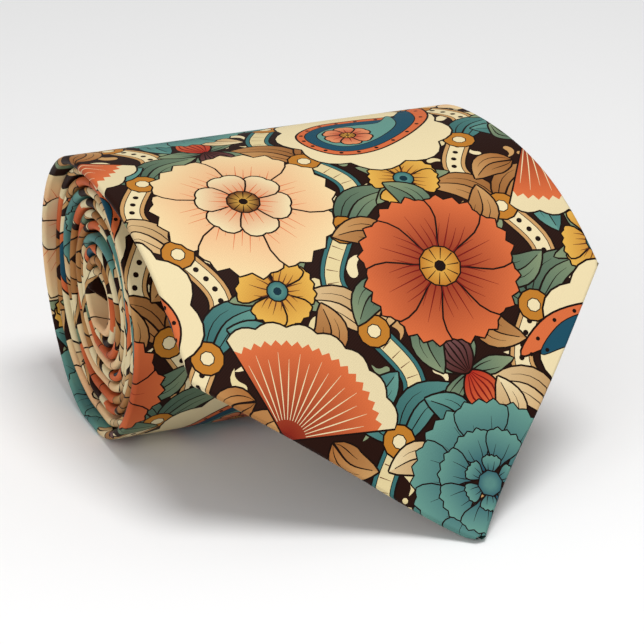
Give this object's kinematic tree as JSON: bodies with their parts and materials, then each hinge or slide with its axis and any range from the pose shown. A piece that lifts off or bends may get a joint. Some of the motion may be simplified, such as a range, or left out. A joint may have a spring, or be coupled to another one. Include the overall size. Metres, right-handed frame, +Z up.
{
  "type": "necktie",
  "caption": "Lined necktie with a botanical print, rolled from its narrow end, the front of its wide blade hanging free over the roll.",
  "frame": {"origin": "centre of the object's box on the surface it rests on", "axes": "+X along the roll's axis, towards the roll's right end; -Y towards the blade's point; +Z up"},
  "size_m": [0.106, 0.1206, 0.0669],
  "materials": {
    "printed_silk": "satin",
    "interlining_cloth": "matte",
    "tipping_cloth": "satin",
    "keeper_silk": "satin",
    "label_satin": "satin",
    "sewing_thread": "matte"
  },
  "bodies": {
    "roll": {"blade_shell": "printed_silk", "neck_shell": "printed_silk", "tail_shell": "printed_silk", "interlining": "interlining_cloth", "tail_tipping": "tipping_cloth", "keeper_loop": "keeper_silk", "keeper_tacks": "sewing_thread", "care_label": "label_satin", "label_stitches": "sewing_thread", "slip_stitch": "sewing_thread", "tail_bar_tack": "sewing_thread", "blade_neck_seam": "sewing_thread", "neck_tail_seam": "sewing_thread"},
    "front": {"blade_shell_front": "printed_silk", "interlining_front": "interlining_cloth", "blade_tipping": "tipping_cloth", "blade_bar_tack": "sewing_thread"}
  },
  "joints": [
    {"name": "front_lift", "type": "hinge", "parent": "roll", "child": "front", "pos_m": [0, 0.02552, 0.06673], "axis": [-1, 0, 0], "range_deg": [0, 60]}
  ]
}
